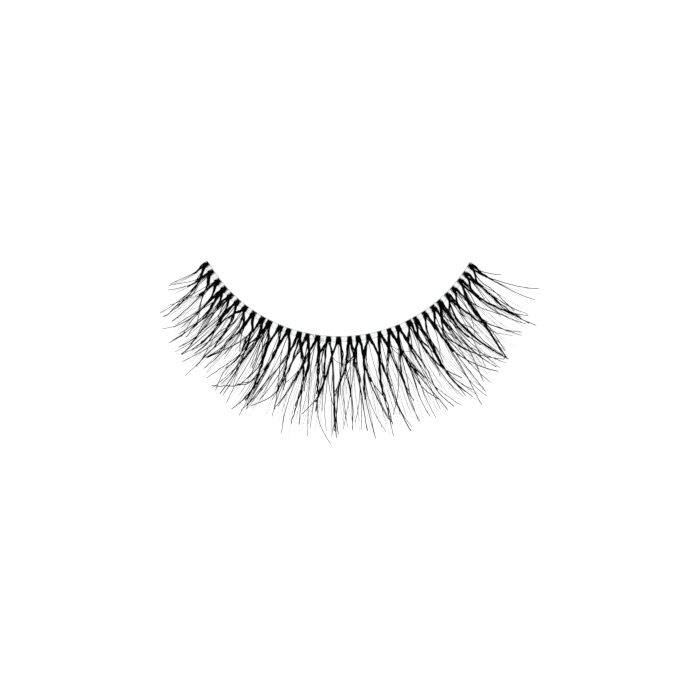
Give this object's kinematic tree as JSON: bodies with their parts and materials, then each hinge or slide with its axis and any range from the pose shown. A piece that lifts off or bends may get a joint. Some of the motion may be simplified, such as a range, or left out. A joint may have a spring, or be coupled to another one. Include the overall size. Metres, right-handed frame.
{
  "type": "strip false eyelash",
  "caption": "Clear curved band with a row of knotted black fibre tufts that cross, fan out and curl up; glued along the upper eyelid as false lashes",
  "frame": {"origin": "middle of the bounding box, on the plane that the band lies on", "axes": "+X runs along the strip from the inner corner of the eye to the outer, the lashes point to -Y and curl up to +Z"},
  "size_m": [0.0376, 0.0196, 0.005],
  "materials": {
    "clear_film": "clear, flat, slightly glossy",
    "black_fibre": "jet black fibre with a faint silk sheen"
  },
  "bodies": {
    "root": {"band": "clear_film", "tuft_01": "black_fibre", "tuft_02": "black_fibre", "tuft_03": "black_fibre", "tuft_04": "black_fibre", "tuft_05": "black_fibre", "tuft_06": "black_fibre", "tuft_07": "black_fibre", "tuft_08": "black_fibre", "tuft_09": "black_fibre", "tuft_10": "black_fibre", "tuft_11": "black_fibre", "tuft_12": "black_fibre", "tuft_13": "black_fibre", "tuft_14": "black_fibre", "tuft_15": "black_fibre", "tuft_16": "black_fibre", "tuft_17": "black_fibre", "tuft_18": "black_fibre", "tuft_19": "black_fibre", "tuft_20": "black_fibre", "tuft_21": "black_fibre", "tuft_22": "black_fibre", "tuft_23": "black_fibre", "tuft_24": "black_fibre", "tuft_25": "black_fibre", "tuft_26": "black_fibre", "tuft_27": "black_fibre", "tuft_28": "black_fibre", "tuft_29": "black_fibre", "tuft_30": "black_fibre", "tuft_31": "black_fibre", "tuft_32": "black_fibre", "tuft_33": "black_fibre"}
  },
  "joints": []
}
